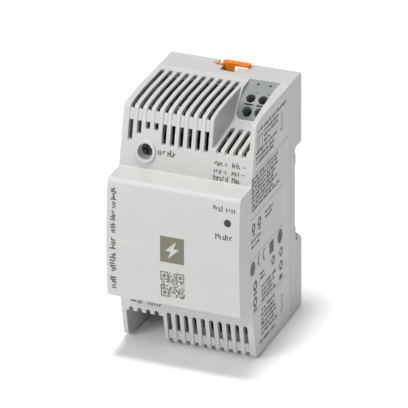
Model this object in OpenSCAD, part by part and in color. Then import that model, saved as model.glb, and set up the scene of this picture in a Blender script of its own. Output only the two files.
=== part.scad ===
// DIN rail power supply: a three-module housing with vents, two push-in terminal blocks,
// an output voltage adjuster, a status light and a spring-loaded rail latch.
// X is across the front, +Y points towards the rail, +Z is up. Millimetres.

/* [Housing] */
// outer width of the housing
housing_width = 54; // [52:0.5:56]
// outer height of the housing
housing_height = 90; // [90:0.5:90]
// wall thickness of the shells
wall = 1.8; // [1.4:0.1:2.4]
// how far the front panel bulges at mid height
panel_bulge = 1.2; // [0.2:0.1:2]

/* [Vents] */
// distance between neighbouring vent slots
vent_pitch = 3.45; // [3:0.05:4]
// width of each vent slot
vent_width = 1.7; // [1:0.05:2]
// thickness of the top between the vents
vent_wall = 1.0; // [0.8:0.1:1.4]

/* [Terminals] */
// distance between the two poles of a terminal block
pole_pitch = 5; // [5:0.1:5.08]
// diameter of a wire entry
entry_diameter = 3.5; // [2.8:0.1:3.6]

/* [Adjuster] */
// bore of the collar around the adjuster
adjuster_bore = 6; // [5:0.1:6.2]
// diameter of the adjuster spindle
spindle_diameter = 4.8; // [4:0.1:5]

/* [Rail] */
// plane of the rail seat, measured from the middle of the depth
seat_y = 27.2; // [27:0.1:27.6]

/* [Board] */
// front face of the circuit board
board_y = 18.6; // [18:0.1:19]
// thickness of the circuit board
board_thickness = 1.6; // [1:0.1:1.6]

/* [Hidden] */
$fn = 48;
hw = housing_width / 2;
hh = housing_height;
mid = hh / 2;
inner_x = hw - wall;
// foremost plane of the panel, hindmost plane of the base, and the parting plane of the two shells
front = -33.5;
back = 33.5;
split_y = 20.5;
// assembly gap between parts that don't move
gap = 0.15;
// lower ends of the snap hooks
hook_z = [7.3, hh - 13.3];
// the panel is an arc over 42 mm of height
bulge_r = (21 * 21 + panel_bulge * panel_bulge) / (2 * panel_bulge);
// lean of the front face above and below the panel
slant = 13.86;

// terminal block: lower edge and tilt of its face, its width, its poles and its wire entries
face_angle = 42.69;
face_y = 4.5;
face_z = 80.8;
face_chord = 10.47;
block_x0 = 11.0;
block_x1 = 22.9;
block_corner = 2.6;
pole_x = 14.85;
entry_s = [3.1, 8.6];
entry_r = entry_diameter / 2;
// the face is an arc that turns through twice this angle
face_bow = 24;
face_r = face_chord / 2 / sin(face_bow);
// top edge of the block's sloping strip, and the lean of that strip
strip_end = [20.3, 90];
strip_angle = 14.5;
// hollow behind the face for a contact and its springs, as distances up the face and behind it
pocket_s0 = 1.2;
pocket_s1 = 10.7;
pocket_t0 = 3.4;
pocket_t1 = 8.4;
// heights of the two pins of each contact
term_z = [77, 82];

// adjuster, light and latch
adj_x = -16.65;
adj_z = 73.6;
adj_step_y = -17.2;
led_x = 22;
led_z = 58.2;
latch_x0 = -6;
latch_x1 = 6.4;
plate_y0 = 29.2;
plate_y1 = 31.3;
stem_x0 = -3.0;
stem_x1 = 0.55;
rib_z = 77.0;
spring_x = -3.5;
spring_z0 = 66.8;
spring_r = 0.82;
spring_wire = 0.34;
spring_turns = 7;

// circuit board and the [x, z] places of the solder pins
board_back = board_y + board_thickness;
post_x = 20.5;
post_z = [28, 64];
term_pins = [for (x = [pole_x, pole_x + pole_pitch], z = term_z) [x, z]];
term_pins_in = [for (p = term_pins) [-p[0], hh - p[1]]];
pot_pins = [[adj_x - 2.5, adj_z - 3.6], [adj_x + 2.5, adj_z - 3.6], [adj_x, adj_z + 3.6]];
transformer = [6.2, 8.4, 45];
transformer_pins = [for (s = [-1, 1], i = [-2 : 2]) [transformer[0] + i * 3.6, transformer[2] + s * 11.4]];
bulk = [-13.6, 36];
bulk_pins = [for (s = [-1, 1]) [bulk[0] + s * 3.75, bulk[1]]];
output_cans = [[-5.6, 79], [-6.2, 67.4]];
output_can_pins = [for (c = output_cans, s = [-1, 1]) [c[0] + s * 2.5, c[1]]];
choke = [5, board_y - 10.4, 13];
choke_pins = [for (i = [-1, 1], j = [-1, 1]) [choke[0] + i * 5, choke[2] + j * 6]];
box_cap_pins = [[18.8, 6.6], [18.8, 21.6]];
disc_caps = [[-6.5, 60.2], [-13.5, 23.2]];
disc_cap_pins = [for (c = disc_caps, s = [-1, 1]) [c[0] + s * 3.2, c[1]]];
fuse_pins = [[-5.6, 4.6], [-5.6, 21]];
varistor_at = [-14.0, 18.7];
varistor_pins = [for (s = [-1, 1]) varistor_at + [s * 3.35, 0]];
thermistor_at = [14.3, 26.6];
thermistor_pins = [for (s = [-1, 1]) thermistor_at + [s * 3.3, 0]];
bridge_pins = [for (i = [0 : 3]) [-6.8 + i * 3.3, 26.6]];
transistor_pins = [for (i = [-1, 0, 1]) [19.2, 38 + i * 2.54]];
rectifier_pins = [for (i = [-1, 0, 1]) [3.1, 73 + i * 2.54]];
opto_x = -15.5;
opto_z = [50.6, 55.6];
opto_pins = [for (z = opto_z, i = [-1, 1], j = [-1, 1]) [opto_x + i * 3.8, z + j * 1.27]];
inductor = [13.5, board_y - 8.2, 66.3];
inductor_pins = [for (s = [-1, 1]) [inductor[0], inductor[2] + s * 4.1]];
sink_pins = [[21.9, 32], [21.9, 49.5], [5.9, 66.5], [5.9, 80.5]];
sink_screw_y = board_y - 16.6;

plastic = [0.80, 0.80, 0.79];
grey = [0.60, 0.62, 0.61];
orange = [0.92, 0.42, 0.04];
steel = [0.72, 0.72, 0.74];
copper = [0.78, 0.52, 0.30];
black = [0.08, 0.08, 0.09];
blue = [0.16, 0.40, 0.71];

// ---------- helpers ----------
// front surface of the bulging panel at height z
function panel_front(z) = front + (z - mid) * (z - mid) / (2 * bulge_r);
// slanted front face above the panel at height z
function upper_front(z) = -20.8 + (z - 67.5) * tan(slant);
// [y, z] of a point s up the terminal face and t out of it
function slope(s, t) = [
  face_y + s * cos(face_angle) - t * sin(face_angle),
  face_z + s * sin(face_angle) + t * cos(face_angle)];
// arc points from angle a0 to a1 about c in the side plane
function arc(c, r, a0, a1, n) = [for (i = [0 : n])
  let (a = a0 + (a1 - a0) * i / n) [c[0] + r * cos(a), c[1] + r * sin(a)]];
// a side-plane outline mirrored about mid height, in the opposite order
function flip(p) = [for (i = [len(p) - 1 : -1 : 0]) [p[i][0], hh - p[i][1]]];

// extrude a side-plane polygon, given as [y, z] points, from x0 to x1
module side(x0, x1, p) {
  translate([x0, 0, 0]) rotate([90, 0, 90]) linear_extrude(x1 - x0) polygon(p);
}
// box between two corners
module box(a, b) {
  translate(a) cube(b - a);
}
// box between the distances x0 and x1 from the middle plane, on the side s
module flank(s, x0, x1, y0, y1, z0, z1) {
  box([min(s * x0, s * x1), y0, z0], [max(s * x0, s * x1), y1, z1]);
}
// cylinder along Y
module ycyl(x, z, y0, y1, r) {
  translate([x, y0, z]) rotate([-90, 0, 0]) cylinder(h = y1 - y0, r = r);
}
// cylinder along X
module xcyl(y, z, x0, x1, r) {
  translate([x0, y, z]) rotate([0, 90, 0]) cylinder(h = x1 - x0, r = r);
}
// cylinder along Z
module zcyl(x, y, z0, z1, r) {
  translate([x, y, z0]) cylinder(h = z1 - z0, r = r);
}
// turn a feature of the upper half round into the lower half
module turned() {
  translate([0, 0, hh]) rotate([0, 180, 0]) children();
}
// local frame of the terminal face: x across, y up the slope, z out of the face
module on_face() {
  translate([0, face_y, face_z]) rotate([face_angle, 0, 0]) children();
}
// rounded rectangle
module round_rect(x0, y0, x1, y1, r) {
  translate([x0 + r, y0]) square([x1 - x0 - 2 * r, y1 - y0]);
  translate([x0, y0 + r]) square([x1 - x0, y1 - y0 - 2 * r]);
  for (x = [x0 + r, x1 - r], y = [y0 + r, y1 - r]) translate([x, y]) circle(r);
}
// round solder pins through the board
module pins(list, r = 0.4, y0 = board_y, y1 = board_back + 1.6) {
  for (p = list) ycyl(p[0], p[1], y0, y1, r);
}

// ---------- housing outlines ----------
// upper half of the cover's outline: panel, rounded shoulder, fillet, slanted face, top
half_outline = concat(
  [for (i = [0 : 8]) let (z = mid + 20.6 * i / 8) [panel_front(z), z]],
  arc([-30.6, 65.65], 1.75, 170, 90, 6),
  arc([-21.45, 68.2], 0.8, -90, -slant, 4),
  [[upper_front(88), 88], [-15.25, 88.6], [-14.7, 88.85], [-10.2, 89.5], [-1, 90]]);
// the same for the hollow inside it
half_cavity = concat(
  [for (i = [0 : 8]) let (z = mid + 20 * i / 8) [panel_front(z) + 1.9, z]],
  [[-30, 65.7], [-18.9, 65.7], [upper_front(86.6) + 1.85, 86.6], [-13.2, 87.3], [-10, 87.8],
   [-1, hh - wall]]);
cover_outline = concat(half_outline, [[split_y, hh], [split_y, 0]], flip(half_outline));
cavity_outline = concat(half_cavity, [[split_y + 1, hh - wall], [split_y + 1, wall]], flip(half_cavity));
// base, from the top down the rear: upper block, rail recess with two seats and lip, lower block
base_outline = concat(
  [[split_y + 0.05, hh], [32.9, hh], [33.3, 89.8], [back, 89.4]],
  [[back, 64.5], [33.2, 63.7], [32.7, 63.3], [27.5, 63.3], [26.4, 62.5]],
  [[26.4, 61.8], [seat_y, 61.2], [seat_y, 57.2], [26.4, 56.6], [26.4, 33.4], [seat_y, 32.8]],
  [[seat_y, 27.2], [28.8, 27.2], [28.8, 29.2], [29.5, 29.5], [32.9, 27.0], [back, 26.2]],
  [[back, 1.9], [33.2, 1.0], [32.4, 0.5], [30.5, 0], [split_y + 0.05, 0]]);

// ---------- recess in front of a terminal block ----------
recess_x0 = 10;
recess_void = [[-32, 76.6], [2.4, 80.95], [3.25, 81.05], [14.0, 91], [14.0, 95], [-32, 95]];
recess_skin = [[-32, 75.1], [2.6, 79.45], [4.3, 79.5], [4.3, 79.85], [16.2, 90.8], [16.2, 92], [-32, 92]];

// hollow of the recess, whose outer wall thickens towards the block
module recess_hollow() {
  intersection() {
    side(recess_x0, hw, recess_void);
    translate([0, 0, mid]) linear_extrude(hh)
      polygon([[0, -40], [hw - 2, -40], [hw - 2, -15], [block_x1 + gap, 14.2], [block_x1 + gap, 30],
        [0, 30]]);
  }
}
// floor and rear slope of the recess
module recess_floor() {
  intersection() {
    side(recess_x0 - 1.5, hw - 0.5, recess_skin);
    side(recess_x0 - 1.5, hw - 0.5, concat(half_outline, [[split_y, hh], [split_y, mid]]));
  }
}
// short vents in the recess floor
module recess_slots() {
  r = vent_width / 2;
  end_y = -2.1 - r;
  for (i = [0 : 3]) {
    x = 12.6 + i * vent_pitch;
    box([x - r, -30, 76.65 + r], [x + r, end_y, 83]);
    ycyl(x, 76.65 + r, -30, -8, r);
    zcyl(x, end_y, 76, 83, r);
  }
}
// opening in the recess floor and the top for a terminal block
module block_opening() {
  x0 = block_x0 - gap;
  x1 = block_x1 + gap;
  on_face() translate([0, 0, -4.5]) linear_extrude(9) round_rect(x0, -gap, x1, 6, block_corner + gap);
  side(x0, x1, [slope(2.9, 4), slope(2.9, -4.5), [split_y + 1, 84], [split_y + 1, 92], [11, 94]]);
}

// ---------- front cover ----------
// row of ten vents over the top edge; the notched row makes room for the adjuster
module vents(notched) {
  r = vent_width / 2;
  top_end = 16.6 - r;
  for (i = [0 : 9]) {
    x = -23.5 + i * vent_pitch;
    low = (notched && i == 1) ? 78.9 : (notched && (i == 2 || i == 3)) ? 81.05 : 76.4;
    // slot along the top, with round ends
    box([x - r, -24, 87.3 + r], [x + r, -12, 96]);
    ycyl(x, 87.3 + r, -24, -8, r);
    box([x - r, -14.2, 85.4], [x + r, top_end, 96]);
    zcyl(x, top_end, 86, 96, r);
    // slot in the slanted front face
    box([x - r, -24, low + r], [x + r, -12, 83.7]);
    ycyl(x, low + r, -24, -12, r);
    // shallow flute that joins the two
    flute = [for (z = [83.4, 88.2]) upper_front(z) + 0.3];
    side(x - r, x + r, [[flute[0] - 2, 83.4], [flute[0], 83.4], [flute[1], 88.2],
      [flute[1] - 2, 88.2]]);
  }
}
// thinner roof round the vents, cut from inside
module vent_roof() {
  side(-inner_x + 0.3, 9, [[-9.5, 87], [-9.5, 89.5 - vent_wall], [-1, hh - vent_wall],
    [16.8, hh - vent_wall], [16.8, 87]]);
}
// windows in both side walls for the hooks of the base
module snap_windows(z0) {
  for (s = [-1, 1]) flank(s, inner_x - 1, hw + 1, 10.05, 12.55, z0 - 0.15, z0 + 6.15);
}
// raised collar on the slanted face and the tube that guides the spindle
module adjuster_collar() {
  translate([adj_x, upper_front(adj_z), adj_z]) rotate([90 - slant, 0, 0]) translate([0, 0, -1.5])
    cylinder(h = 2.2, r = adjuster_bore / 2 + 1.15);
  ycyl(adj_x, adj_z, -18, -9, adjuster_bore / 2 + 0.6);
}

module front_cover() {
  color(plastic) difference() {
    union() {
      difference() {
        side(-hw, hw, cover_outline);
        side(-inner_x, inner_x, cavity_outline);
        vent_roof();
        turned() vent_roof();
      }
      recess_floor();
      turned() recess_floor();
      adjuster_collar();
      // boss that holds the light pipe
      ycyl(led_x, led_z, -31.6, -26, 2.7);
    }
    recess_hollow();
    turned() recess_hollow();
    recess_slots();
    turned() recess_slots();
    block_opening();
    turned() block_opening();
    vents(true);
    turned() vents(false);
    for (z = hook_z) snap_windows(z);
    ycyl(adj_x, adj_z, -26, adj_step_y, adjuster_bore / 2);
    ycyl(adj_x, adj_z, -18, -8, spindle_diameter / 2 + 0.05);
    ycyl(led_x, led_z, -36, -25, 1.4);
  }
}

// ---------- rear base ----------
// rim inside the top of the cover, and its root on the base
module top_rim() {
  box([-22, 16.9, 87.05], [8, split_y + 2, hh - wall - gap]);
  box([-22, split_y + 0.2, 87.05], [8, split_y + 2, hh - 1]);
}
// rim inside one side wall of the cover
module side_rim(s) {
  flank(s, 24, inner_x - gap, 16.9, split_y + 2, 19, 71);
  flank(s, 24, hw - 1, split_y + 0.2, split_y + 2, 19, 71);
}
// arm with a hook that snaps into a window of the cover
module snap_arm(s, z) {
  flank(s, 23.7, inner_x - gap, 10.2, split_y + 1, z, z + 6);
  flank(s, 24.5, hw - gap, 10.2, 12.4, z, z + 6);
  flank(s, 23.7, hw - 1, split_y + 0.2, split_y + 2, z, z + 6);
}
// rooms for the pins and for air behind the board
module base_hollows() {
  y0 = split_y - 1;
  for (s = [-1, 1]) flank(s, 11.5, inner_x, y0, 31.6, 65.2, hh - wall);
  box([-9.7, y0, 65.2], [9.7, 26.6, 82.4]);
  box([-inner_x, y0, wall], [inner_x, 31.6, 24.8]);
  box([-inner_x, y0, 24.7], [inner_x, 24.4, 65.3]);
}
// everything cut out of the base for the rail latch
module latch_channel() {
  // channel of the plate, with a pocket for the travel of the nose
  box([latch_x0 - 0.2, plate_y0 - 0.2, 60], [latch_x1 + 0.2, plate_y1 + 0.2, 85]);
  box([latch_x0 - 0.2, 28.25, 60], [latch_x1 + 0.2, plate_y0 + 0.1, 65.8]);
  // room and slit in the top for the wing
  box([-9.6, plate_y0 - 0.2, 79], [latch_x0, plate_y1 - 0.5, 85.4]);
  box([-7.7, plate_y0 - 0.2, 84], [-5, plate_y0 + 1.2, 91]);
  // notch in the rear edge of the top
  box([-6.5, 28.1, 84.6], [6.7, back + 1, 91]);
  // screwdriver access in front of the stem
  box([stem_x0 - 0.3, 23.8, 84.6], [2.75, 28.2, 91]);
}

module rear_base() {
  color(plastic) difference() {
    union() {
      difference() {
        side(-hw, hw, base_outline);
        base_hollows();
      }
      for (s = [-1, 1]) side_rim(s);
      top_rim();
      turned() top_rim();
      for (s = [-1, 1], z = hook_z) snap_arm(s, z);
      // board posts with locating pins
      for (x = [-post_x, post_x], z = post_z) {
        ycyl(x, z, board_back, 24.6, 2.4);
        ycyl(x, z, board_y - 0.6, 24, 1);
      }
    }
    latch_channel();
  }
  // stop rib that holds the upper end of the spring
  color(plastic) box([-5.0, plate_y0 - 0.3, rib_z], [-2.0, plate_y1 + 0.3, rib_z + 1.2]);
}

// ---------- rail latch, which slides up ----------
module rail_latch() {
  color(orange) difference() {
    union() {
      box([latch_x0, plate_y0, 62.6], [latch_x1, plate_y1, 84.3]);
      // nose with a lead-in below, that hooks behind the rail
      side(latch_x0, latch_x1, [[plate_y0, 62.8], [28.45, 62.4], [28.45, 61.95], [28.9, 61.35],
        [plate_y1, 62.4], [plate_y1, 62.8]]);
      // stem up to the handle bar with round ends
      box([stem_x0, plate_y0, 84], [stem_x1, plate_y1 - 0.1, 85.5]);
      box([stem_x0, 28.4, 84.9], [stem_x1, 31.0, 90.5]);
      translate([0, 0, 90.15]) linear_extrude(1.1) round_rect(-3.9, 28.4, 7.5, 31.1, 1.0);
      // wing seen in the slit, and its foot
      box([-7.5, plate_y0, 82], [stem_x0 + 0.1, plate_y0 + 1, 90]);
      box([-7.5, plate_y0, 80.2], [latch_x0 + 0.5, plate_y1 - 0.7, 82.2]);
    }
    // windows for the spring with its stop rib, and to save material
    box([-5.2, plate_y0 - 1, spring_z0], [-1.8, plate_y1 + 1, rib_z + 1.4]);
    box([1, plate_y0 - 1, spring_z0], [4.4, plate_y1 + 1, 78]);
  }
}

// a level cut through the leaning wire of the coil is a curved bean over twice this angle
bean_half = 62;
function bean_width(a) = spring_wire / 2 * sqrt(max(0.02, 1 - pow(a / bean_half, 2)));
function bean_edge(s) = [for (i = [0 : 5])
  let (a = s * bean_half * (2 * i / 5 - 1), r = spring_r + s * bean_width(a)) [r * cos(a), r * sin(a)]];

module latch_spring() {
  z0 = spring_z0 + 0.02;
  z1 = rib_z - 0.02;
  color(steel) translate([spring_x, (plate_y0 + plate_y1) / 2, 0]) {
    translate([0, 0, z0 + 0.1])
      linear_extrude(height = z1 - z0 - 0.2, twist = -360 * spring_turns, slices = 10 * spring_turns)
        polygon(concat(bean_edge(1), bean_edge(-1)));
    // closed end coils
    for (z = [z0, z1 - 0.3]) translate([0, 0, z]) difference() {
      cylinder(h = 0.3, r = spring_r + spring_wire / 2);
      translate([0, 0, -1]) cylinder(h = 3, r = spring_r - spring_wire / 2);
    }
  }
}

// ---------- push-in terminal block ----------
// bowed face, sloping strip, then down the rear to the board
block_profile = concat(
  arc(slope(face_chord / 2, -face_r * cos(face_bow)), face_r, 90 + face_angle + face_bow,
    90 + face_angle - face_bow, 10),
  [strip_end, [strip_end[0], 86.9], [board_y - 0.02, 86.9], [board_y - 0.02, 74], [10.77, 74]]);

// the solid block, its two lower corners rounded as seen along the wire entries
module block_body() {
  intersection() {
    side(block_x0, block_x1, block_profile);
    on_face() translate([0, 0, -16]) linear_extrude(30) {
      round_rect(block_x0, 0, block_x1, 9, block_corner);
      translate([block_x0 - 1, 4]) square([block_x1 - block_x0 + 2, 30]);
    }
  }
}
// one pole's pocket, pin slots, wire entries, release slot and test point
module pole_hollows(x) {
  on_face() {
    box([x - 2, pocket_s0, -pocket_t1], [x + 2, pocket_s1, -pocket_t0]);
    for (s = entry_s) translate([x, s, 0]) {
      translate([0, 0, -pocket_t0 - 0.5]) cylinder(h = 8, r = entry_r);
      // slightly flared mouth
      cylinder(h = 2, r1 = entry_r, r2 = entry_r + 0.5);
    }
    // slot between the entries where both clamps are released
    box([x - 1.85, 5.55, -pocket_t0 - 0.5], [x + 1.8, 6.2, 3]);
  }
  for (z = term_z) box([x - 0.6, 10, z - 0.6], [x + 0.6, board_y + 1, z + 0.6]);
  // test point on the strip, and a smaller dimple below it
  translate([x + 0.2, 18, 89.4]) rotate([strip_angle, 0, 0]) cylinder(h = 2, r = 0.6, center = true);
  translate([x + 1.2, 13.1, 88.1]) rotate([strip_angle, 0, 0]) cylinder(h = 1, r = 0.35, center = true);
}
module terminal_housing() {
  color(grey) difference() {
    block_body();
    for (c = [0, 1]) pole_hollows(pole_x + c * pole_pitch);
  }
}
// current bar behind one pole, with two solder pins that start inside it
module contact(c) {
  x = pole_x + c * pole_pitch;
  pin_start = [12.4, 17.2];
  bar_t = -pocket_t1 + 0.05;
  color(copper) {
    on_face() box([x - 1.8, pocket_s0 + 0.3, bar_t], [x + 1.8, pocket_s1 - 0.3, bar_t + 0.7]);
    for (i = [0, 1])
      box([x - 0.4, pin_start[i], term_z[i] - 0.4], [x + 0.4, board_back + 1.6, term_z[i] + 0.4]);
  }
}
// one leaf spring bent to a V behind the entry at s, with a window that the wire passes through
module clamp_spring(s) {
  difference() {
    rotate([90, 0, 90]) linear_extrude(3, center = true) translate([s, 0])
      polygon([[1.5, -3.5], [-1.1, -3.5], [-1.55, -3.9], [-1.55, -4.4], [1.0, -7.4], [1.3, -7.2],
        [-1.2, -4.3], [-1.2, -4.0], [-1.0, -3.82], [1.5, -3.82]]);
    translate([0, s, -4]) cylinder(h = 3, r = 1.2);
  }
}
module clamp_springs() {
  color(steel) for (c = [0, 1], s = entry_s)
    on_face() translate([pole_x + c * pole_pitch, 0, 0]) clamp_spring(s);
}

module output_terminal_housing() { terminal_housing(); }
module output_positive_contact() { contact(0); }
module output_negative_contact() { contact(1); }
module output_clamp_springs() { clamp_springs(); }
module input_terminal_housing() { turned() terminal_housing(); }
module input_live_contact() { turned() contact(1); }
module input_neutral_contact() { turned() contact(0); }
module input_clamp_springs() { turned() clamp_springs(); }

// ---------- output voltage adjuster ----------
module potentiometer_body() {
  color(blue) difference() {
    translate([0, board_y, 0]) rotate([90, 0, 0]) linear_extrude(4.8)
      round_rect(adj_x - 5, adj_z - 5, adj_x + 5, adj_z + 5, 1);
    ycyl(adj_x, adj_z, board_y - 6, board_y - 1, 4.1);
    ycyl(adj_x, adj_z, board_y - 2, board_y - 0.4, 1.6);
  }
  color(steel) pins(pot_pins);
}
module potentiometer_rotor() {
  color([0.88, 0.88, 0.84]) difference() {
    union() {
      ycyl(adj_x, adj_z, board_y - 5.6, board_y - 1.05, 4.05);
      ycyl(adj_x, adj_z, board_y - 2, board_y - 0.5, 1.55);
    }
    ycyl(adj_x, adj_z, board_y - 7, board_y - 1.6, 1.9);
  }
}
module adjuster_spindle() {
  head_y = adj_step_y + 0.1;
  color(black) difference() {
    union() {
      ycyl(adj_x, adj_z, head_y, board_y - 5.7, spindle_diameter / 2);
      ycyl(adj_x, adj_z, board_y - 6, board_y - 1.62, 1.9);
    }
    // crossed slots for a screwdriver
    box([adj_x - 3, head_y - 1, adj_z - 0.5], [adj_x + 3, head_y + 1.3, adj_z + 0.5]);
    box([adj_x - 0.5, head_y - 1, adj_z - 1.7], [adj_x + 0.5, head_y + 1.3, adj_z + 1.7]);
  }
}

// ---------- status light ----------
module status_led() {
  color([0.85, 0.86, 0.78]) difference() {
    box([led_x - 1, board_y - 1, led_z - 1.6], [led_x + 1, board_y, led_z + 1.6]);
    ycyl(led_x, led_z, board_y - 2, board_y - 0.5, 0.75);
  }
  // the lens sinks into the case
  color([0.95, 0.93, 0.55]) ycyl(led_x, led_z, board_y - 0.9, board_y - 0.45, 0.75);
}
module light_pipe() {
  color([0.80, 0.88, 0.86, 0.6]) {
    ycyl(led_x, led_z, -32.8, board_y - 1.1, 1.32);
    // collar behind the boss of the cover
    ycyl(led_x, led_z, -25.7, -24.6, 2.2);
  }
}

// ---------- circuit board ----------
module circuit_board() {
  y0 = board_y - 1;
  y1 = board_back + 1;
  color([0.10, 0.34, 0.20]) difference() {
    box([-23.2, board_y, 3.4], [23.2, board_back, hh - 3.4]);
    pins(concat(bulk_pins, output_can_pins, choke_pins, box_cap_pins, disc_cap_pins, fuse_pins,
      varistor_pins, thermistor_pins, bridge_pins, transistor_pins, rectifier_pins, opto_pins,
      inductor_pins, pot_pins, transformer_pins), 0.5, y0, y1);
    pins(sink_pins, 0.9, y0, y1);
    pins(concat(term_pins, term_pins_in), 0.7, y0, y1);
    for (x = [-post_x, post_x], z = post_z) ycyl(x, z, y0, y1, 1.1);
  }
}

// ---------- transformer, winding axis along Z ----------
module transformer_core() {
  color([0.20, 0.20, 0.22]) translate(transformer) rotate([90, 0, 0])
    linear_extrude(7.2, center = true) difference() {
      square([20.4, 20.6], center = true);
      // two winding windows
      for (x = [-7.4, 3.2]) translate([x, -7.1]) square([4.2, 14.2]);
    }
}
module transformer_bobbin() {
  color(black) {
    translate(transformer) difference() {
      union() {
        cube([8.6, 9.4, 13.8], center = true);
        for (z = [-6.45, 6.45]) translate([0, 0, z]) cube([14.4, 17.2, 0.9], center = true);
      }
      cube([6.6, 7.4, 24], center = true);
    }
    // pin rails above and below, and the webs that join them to the flanges
    for (s = [-1, 1]) translate([transformer[0], 0, transformer[2] + s * 11.4]) {
      box([-9, board_y - 4.6, -1], [9, board_y - 0.4, 1]);
      translate([0, 0, -s * 2.9]) box([-7.2, board_y - 3.2, -2.5], [7.2, board_y - 1.6, 2.5]);
    }
  }
  color(steel) pins(transformer_pins, 0.35, board_y - 3);
}
module transformer_winding() {
  color([0.85, 0.68, 0.12]) translate(transformer) difference() {
    linear_extrude(11.8, center = true) round_rect(-7.1, -8.2, 7.1, 8.2, 2.2);
    cube([8.7, 9.5, 16], center = true);
  }
}

// ---------- capacitors ----------
// can with a crimp groove near the board and a shallow well in the outer end
module can(x, z, r, h) {
  translate([x, board_y - 0.3, z]) rotate([90, 0, 0]) rotate_extrude()
    polygon([[0, 0], [r - 0.3, 0], [r, 0.4], [r, 1.6], [r - 0.45, 2.1], [r - 0.45, 2.5], [r, 3.0],
      [r, h - 0.5], [r - 0.4, h], [r - 1.2, h], [r - 1.2, h - 0.35], [0, h - 0.35]]);
}
module bulk_capacitor() {
  color(black) can(bulk[0], bulk[1], 8.9, 34);
  color(steel) pins(bulk_pins, 0.4, board_y - 0.6);
}
module output_capacitors() {
  color([0.16, 0.13, 0.22]) for (c = output_cans) can(c[0], c[1], 5, 22);
  color(steel) pins(output_can_pins, 0.3, board_y - 0.6);
}
module suppression_capacitor() {
  color([0.90, 0.72, 0.16]) translate([0, board_y - 0.3, 0]) rotate([90, 0, 0])
    linear_extrude(15) round_rect(14.6, 5, 23, 23.2, 0.6);
  color(steel) pins(box_cap_pins, 0.35, board_y - 0.6);
}
module safety_capacitors() {
  color(blue) for (c = disc_caps) zcyl(c[0], board_y - 5.4, c[1] - 1.7, c[1] + 1.7, 4.2);
  color(steel) pins(disc_cap_pins, 0.3, board_y - 4);
}

// ---------- mains input parts ----------
module choke_core() {
  color([0.25, 0.22, 0.20]) translate(choke) difference() {
    cylinder(h = 6.4, r = 8.2, center = true);
    cylinder(h = 9, r = 4.4, center = true);
  }
}
module choke_windings() {
  color(copper) {
    // seven turns on each side of the ring
    translate(choke) for (s = [0, 180], i = [-3 : 3])
      rotate([0, 0, s + i * 17]) translate([6.3, 0, 0]) rotate([90, 0, 0]) difference() {
        linear_extrude(1.0, center = true) round_rect(-2.95, -4.3, 2.95, 4.3, 1);
        linear_extrude(3, center = true) square([3.9, 6.5], center = true);
      }
    pins(choke_pins, 0.4, board_y - 2.4);
  }
}
module choke_divider() {
  color(black) translate([choke[0], 0, choke[2]]) {
    box([-0.6, board_y - 14.4, -5], [0.6, board_y - 6.4, 5]);
    // foot plate with holes for the winding ends
    difference() {
      box([-8, board_y - 1.6, -7.6], [8, board_y - 0.4, 7.6]);
      for (i = [-1, 1], j = [-1, 1]) ycyl(i * 5, j * 6, board_y - 4, board_y + 1, 0.45);
    }
  }
}
fuse_y = board_y - 4.6;
module fuse() {
  x = fuse_pins[0][0];
  z0 = fuse_pins[0][1] - 1.4;
  z1 = fuse_pins[1][1] + 1.4;
  cap = 3.6;
  color([0.86, 0.86, 0.84]) zcyl(x, fuse_y, z0 + cap, z1 - cap, 2.2);
  color(steel) for (z = [z0, z1 - cap]) zcyl(x, fuse_y, z, z + cap, 2.45);
}
module fuse_holder() {
  color(steel) for (p = fuse_pins) {
    // open ring clip, foot and pin
    translate([p[0], fuse_y, p[1] - 1.4]) difference() {
      cylinder(h = 2.8, r = 2.95);
      translate([0, 0, -1]) cylinder(h = 5, r = 2.5);
      translate([-4, -4, -1]) cube([8, 3, 5]);
    }
    box([p[0] - 1.2, board_y - 1.8, p[1] - 1.4], [p[0] + 1.2, board_y, p[1] + 1.4]);
    ycyl(p[0], p[1], board_y - 1, board_back + 1.6, 0.4);
  }
}
module varistor() {
  color(blue) zcyl(varistor_at[0], board_y - 7, varistor_at[1] - 1.7, varistor_at[1] + 1.7, 5.2);
  color(steel) pins(varistor_pins, 0.35, board_y - 4);
}
module inrush_thermistor() {
  color([0.10, 0.26, 0.14])
    zcyl(thermistor_at[0], board_y - 6.2, thermistor_at[1] - 1.8, thermistor_at[1] + 1.8, 4.6);
  color(steel) pins(thermistor_pins, 0.35, board_y - 4);
}
module bridge_rectifier() {
  color(black) difference() {
    box([-8.8, board_y - 15.4, 25.0], [5.0, board_y - 4, 28.2]);
    // cut corner that marks the positive end
    box([-9.6, board_y - 16, 24], [-7.6, board_y - 14.2, 30]);
  }
  color(steel) pins(bridge_pins, 0.35, board_y - 4.5);
}

// ---------- semiconductors and heat sinks ----------
// flat package with a metal tab against the face at x, its leads towards the board
module tab_package(x, z, lead_pins) {
  y0 = board_y - 4;
  color(black) box([x - 4.6, y0 - 9.2, z - 5], [x - 1.3, y0, z + 5]);
  color(steel) {
    difference() {
      box([x - 1.3, y0 - 15.6, z - 5], [x, y0, z + 5]);
      xcyl(sink_screw_y, z, x - 3, x + 2, 1.8);
    }
    for (p = lead_pins) box([p[0] - 0.25, y0 - 0.5, p[1] - 0.4], [p[0] + 0.25, board_back + 1.4, p[1] + 0.4]);
  }
}
module switching_transistor() { tab_package(21.2, 38, transistor_pins); }
module output_rectifier() { tab_package(5.1, 73, rectifier_pins); }

// upright plate with a screw hole at height z and two fixing pins
module heat_sink(x0, x1, z0, z1, z, fixings) {
  color([0.70, 0.71, 0.73]) {
    difference() {
      box([x0, -8, z0], [x1, board_y - 0.4, z1]);
      xcyl(sink_screw_y, z, x0 - 1, x1 + 1, 1.65);
    }
    pins(fixings, 0.7, board_y - 1.5, board_back + 1.4);
  }
}
module primary_heat_sink() { heat_sink(21.2, 22.6, 29.6, 53, 38, [sink_pins[0], sink_pins[1]]); }
module secondary_heat_sink() { heat_sink(5.1, 6.7, 64, 84, 73, [sink_pins[2], sink_pins[3]]); }

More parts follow.
